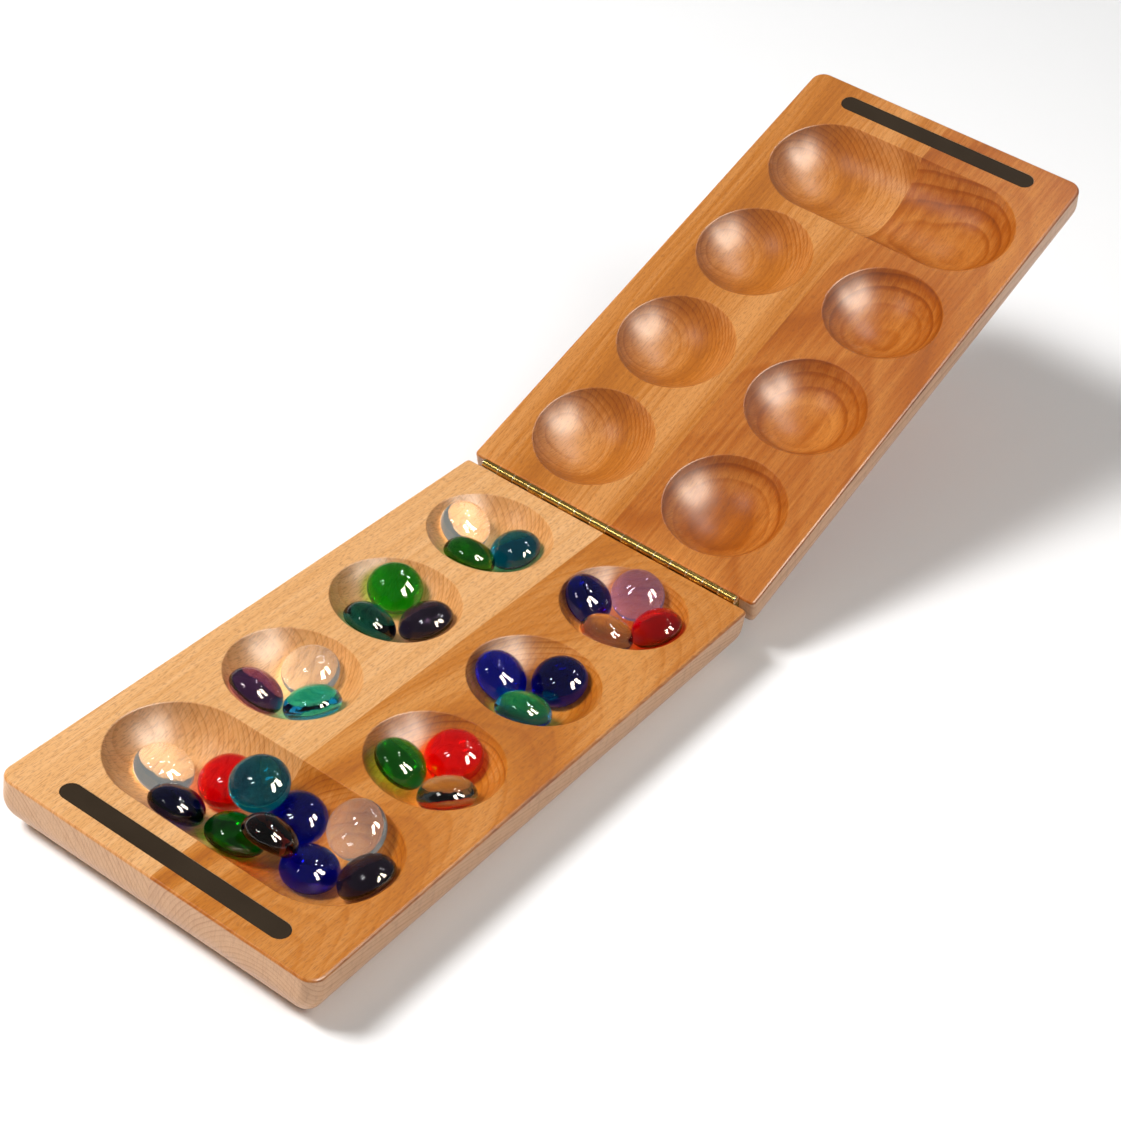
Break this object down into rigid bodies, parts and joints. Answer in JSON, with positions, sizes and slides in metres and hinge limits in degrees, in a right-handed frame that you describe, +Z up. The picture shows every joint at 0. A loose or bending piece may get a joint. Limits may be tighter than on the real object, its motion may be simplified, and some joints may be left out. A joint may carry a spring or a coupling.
{
  "type": "folding mancala board",
  "caption": "Folding wooden mancala board: two hinged halves with round pits, an oval store in each, inlaid magnet strips and loose glass stones.",
  "frame": {"origin": "middle of the flat underside of the near half", "axes": "+X along the board from the near half to the far half, +Y along the hinge to the left as seen from the near end, +Z up out of the near half's play face"},
  "size_m": [0.4259, 0.112, 0.0987],
  "materials": {
    "beech": "satin varnish over steamed beech",
    "magnet": "matte flexible magnet strip",
    "brass": "polished brass plate",
    "screw_steel": "brass-plated steel",
    "clear_glass": "fire-polished glass",
    "green_glass": "fire-polished glass",
    "teal_glass": "fire-polished glass",
    "smoke_glass": "fire-polished glass",
    "purple_glass": "fire-polished glass",
    "aqua_glass": "fire-polished glass",
    "navy_glass": "fire-polished glass",
    "lilac_glass": "fire-polished glass",
    "red_glass": "fire-polished glass",
    "blue_glass": "fire-polished glass",
    "dark_red_glass": "fire-polished glass"
  },
  "bodies": {
    "near_half": {"near_left_stave": "beech", "near_right_stave": "beech", "near_magnet_strip": "magnet", "near_hinge_leaf": "brass", "near_leaf_screws": "screw_steel", "hinge_pin": "brass"},
    "far_half": {"far_left_stave": "beech", "far_right_stave": "beech", "far_magnet_strip": "magnet", "far_hinge_leaf": "brass", "far_leaf_screws": "screw_steel"},
    "a1_stones": {"stone_a1_clear": "clear_glass", "stone_a1_green": "green_glass", "stone_a1_teal": "teal_glass"},
    "a2_stones": {"stone_a2_green": "green_glass", "stone_a2_smoke": "smoke_glass", "stone_a2_teal": "teal_glass"},
    "a3_stones": {"stone_a3_aqua": "aqua_glass", "stone_a3_clear": "clear_glass", "stone_a3_purple": "purple_glass"},
    "b1_stones": {"stone_b1_clear": "clear_glass", "stone_b1_lilac": "lilac_glass", "stone_b1_navy": "navy_glass", "stone_b1_red": "red_glass"},
    "b2_stones": {"stone_b2_aqua": "aqua_glass", "stone_b2_blue": "blue_glass", "stone_b2_navy": "navy_glass"},
    "b3_stones": {"stone_b3_clear": "clear_glass", "stone_b3_green": "green_glass", "stone_b3_red": "red_glass"},
    "store_stones": {"stone_store_blue_back": "blue_glass", "stone_store_blue_front": "blue_glass", "stone_store_clear_left": "clear_glass", "stone_store_clear_right": "clear_glass", "stone_store_dark_red": "dark_red_glass", "stone_store_green": "green_glass", "stone_store_navy": "navy_glass", "stone_store_red": "red_glass", "stone_store_smoke": "smoke_glass", "stone_store_teal": "teal_glass"}
  },
  "joints": [
    {"name": "fold_hinge", "type": "hinge", "parent": "near_half", "child": "far_half", "pos_m": [0.1103, 0, 0.01825], "axis": [0, 1, 0], "range_deg": [-158.3, 21.7]},
    {"name": "a1_stones_lift", "type": "slide", "parent": "near_half", "child": "a1_stones", "axis": [0, 0, 1], "range_m": [0, 0.04]},
    {"name": "a2_stones_lift", "type": "slide", "parent": "near_half", "child": "a2_stones", "axis": [0, 0, 1], "range_m": [0, 0.04]},
    {"name": "a3_stones_lift", "type": "slide", "parent": "near_half", "child": "a3_stones", "axis": [0, 0, 1], "range_m": [0, 0.04]},
    {"name": "b1_stones_lift", "type": "slide", "parent": "near_half", "child": "b1_stones", "axis": [0, 0, 1], "range_m": [0, 0.04]},
    {"name": "b2_stones_lift", "type": "slide", "parent": "near_half", "child": "b2_stones", "axis": [0, 0, 1], "range_m": [0, 0.04]},
    {"name": "b3_stones_lift", "type": "slide", "parent": "near_half", "child": "b3_stones", "axis": [0, 0, 1], "range_m": [0, 0.04]},
    {"name": "store_stones_lift", "type": "slide", "parent": "near_half", "child": "store_stones", "axis": [0, 0, 1], "range_m": [0, 0.04]}
  ]
}
